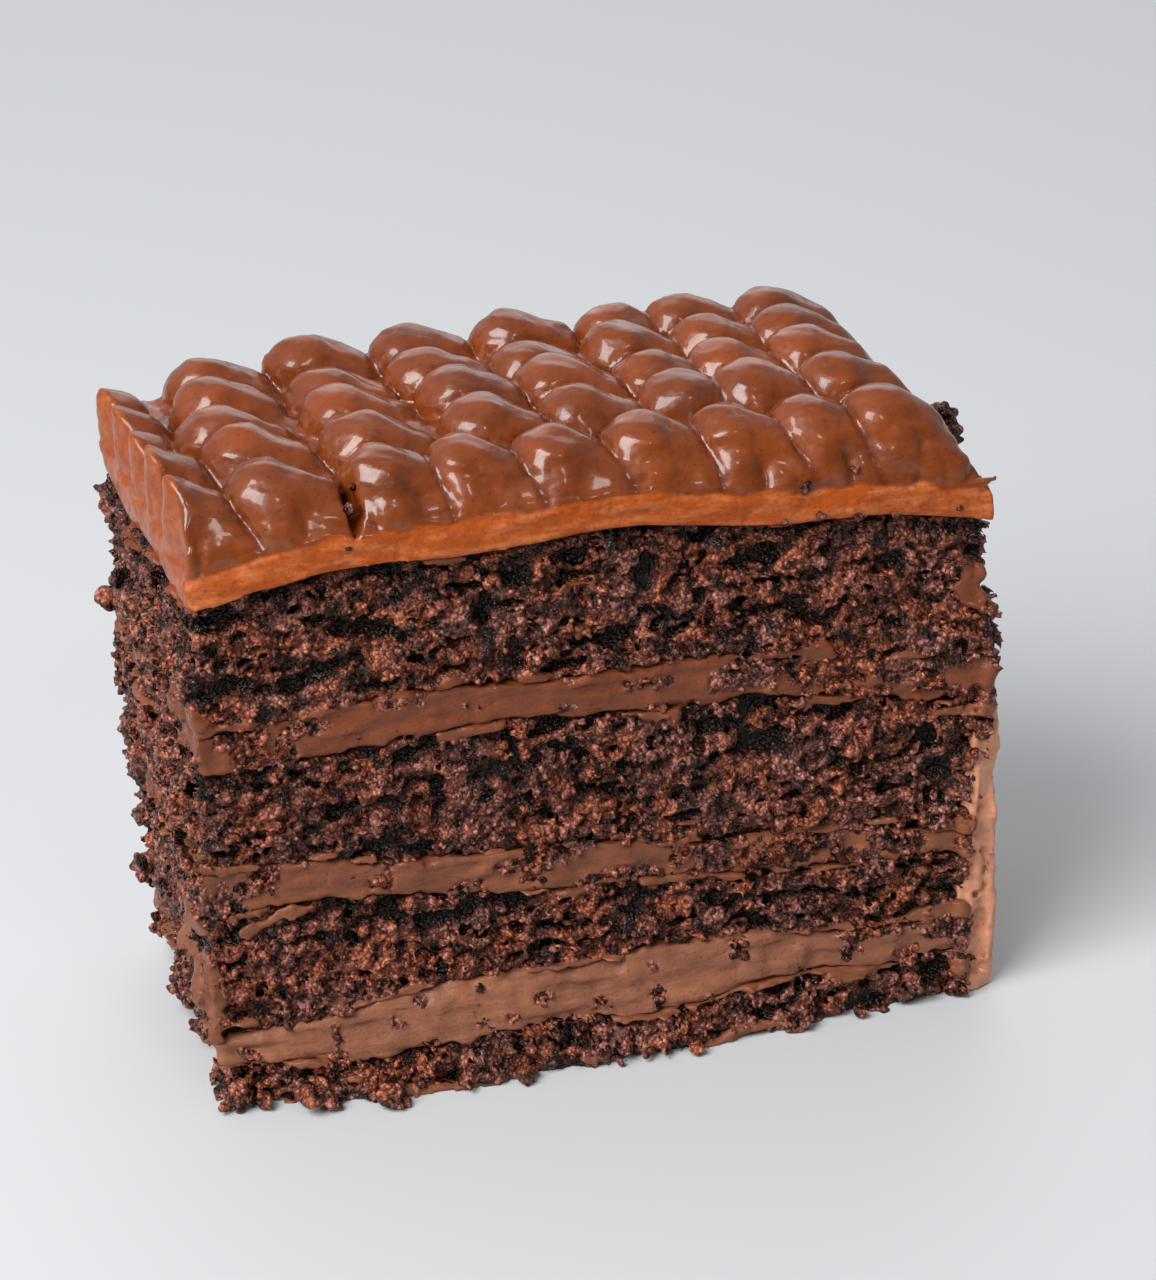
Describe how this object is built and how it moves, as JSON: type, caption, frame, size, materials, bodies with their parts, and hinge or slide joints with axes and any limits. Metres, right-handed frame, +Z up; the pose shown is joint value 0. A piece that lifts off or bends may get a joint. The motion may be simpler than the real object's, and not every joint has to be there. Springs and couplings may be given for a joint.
{
  "type": "slice of chocolate layer cake",
  "caption": "Tall upright slice of chocolate layer cake: dark crumbly sponge, smeared fillings, a deep blanket of piped frosting on top and outer frosting on one side.",
  "frame": {"origin": "middle of the slice's footprint, at its underside", "axes": "+X to the right along the long front cut, +Y from the front cut to the back cut, +Z up through the layers"},
  "size_m": [0.1238, 0.0542, 0.0988],
  "materials": {
    "sponge": "moist dark chocolate crumb, matte with small wet glints",
    "filling": "soft chocolate filling, smeared by the knife, satin",
    "frosting": "glossy milk-chocolate frosting with fine creases",
    "side_coat": "outer chocolate frosting, smoothed by a palette knife, satin"
  },
  "bodies": {
    "root": {"bottom_sponge": "sponge", "lower_filling": "filling", "lower_sponge": "sponge", "middle_filling": "filling", "middle_sponge": "sponge", "upper_filling": "filling", "top_sponge": "sponge", "top_frosting": "frosting", "side_frosting": "side_coat"}
  },
  "joints": []
}
